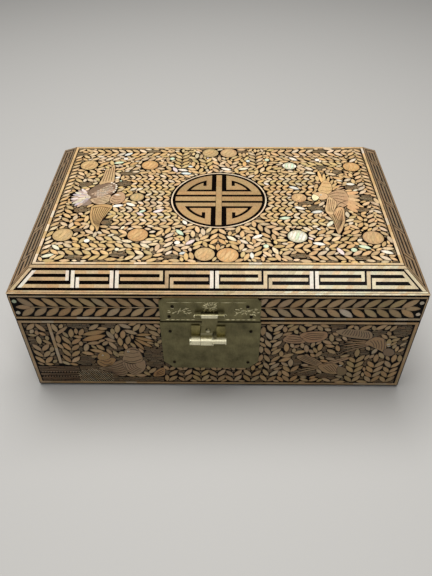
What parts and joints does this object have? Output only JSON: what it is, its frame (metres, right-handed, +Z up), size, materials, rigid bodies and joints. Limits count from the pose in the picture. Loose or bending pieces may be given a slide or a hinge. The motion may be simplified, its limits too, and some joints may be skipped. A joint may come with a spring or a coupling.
{
  "type": "lacquer jewelry box",
  "caption": "Hollow lacquered wooden box with inlaid leaf panels, a hipped lid on back hinges, and a brass hasp closed by a sliding lock pin.",
  "frame": {"origin": "centre of the underside of the plinth", "axes": "+X to the right along the front, +Y from the front to the back, +Z up"},
  "size_m": [0.3, 0.214, 0.12],
  "materials": {
    "lacquer": "dark brown lacquer over wood, polished, with thin inlaid leaves",
    "plinth": "plain black lacquer, satin",
    "aged_brass": "aged greenish brass, dull, with fine engraving",
    "worn_brass": "brass worn bright where it is handled",
    "dark_iron": "dark domed nail heads"
  },
  "bodies": {
    "box": {"box_body": "lacquer", "base_plinth": "plinth", "lower_lock_plate": "aged_brass", "left_staple": "worn_brass", "right_staple": "worn_brass", "lower_plate_nail_high_left": "dark_iron", "lower_plate_nail_high_right": "dark_iron", "lower_plate_nail_low_left": "dark_iron", "lower_plate_nail_low_right": "dark_iron", "left_hinge_body_leaf": "aged_brass", "left_hinge_pin": "worn_brass", "left_hinge_body_nail_1": "dark_iron", "left_hinge_body_nail_2": "dark_iron", "right_hinge_body_leaf": "aged_brass", "right_hinge_pin": "worn_brass", "right_hinge_body_nail_1": "dark_iron", "right_hinge_body_nail_2": "dark_iron"},
    "lid": {"lid": "lacquer", "upper_lock_plate": "aged_brass", "hasp_hinge_pin": "worn_brass", "upper_plate_nail_high_left": "dark_iron", "upper_plate_nail_high_right": "dark_iron", "upper_plate_nail_low_left": "dark_iron", "upper_plate_nail_low_right": "dark_iron", "left_hinge_lid_leaf": "aged_brass", "left_hinge_lid_nail_1": "dark_iron", "left_hinge_lid_nail_2": "dark_iron", "right_hinge_lid_leaf": "aged_brass", "right_hinge_lid_nail_1": "dark_iron", "right_hinge_lid_nail_2": "dark_iron"},
    "hasp": {"hasp": "aged_brass"},
    "lock_pin": {"lock_pin": "worn_brass"}
  },
  "joints": [
    {"name": "lid_hinge", "type": "hinge", "parent": "box", "child": "lid", "pos_m": [0, 0.1025, 0.08025], "axis": [-1, 0, 0], "range_deg": [0, 100]},
    {"name": "hasp_hinge", "type": "hinge", "parent": "lid", "child": "hasp", "pos_m": [-0.0054, -0.1036, 0.08905], "axis": [-1, 0, 0], "range_deg": [0, 165]},
    {"name": "lock_pin_slide", "type": "slide", "parent": "box", "child": "lock_pin", "axis": [-1, 0, 0], "range_m": [0, 0.035]}
  ]
}
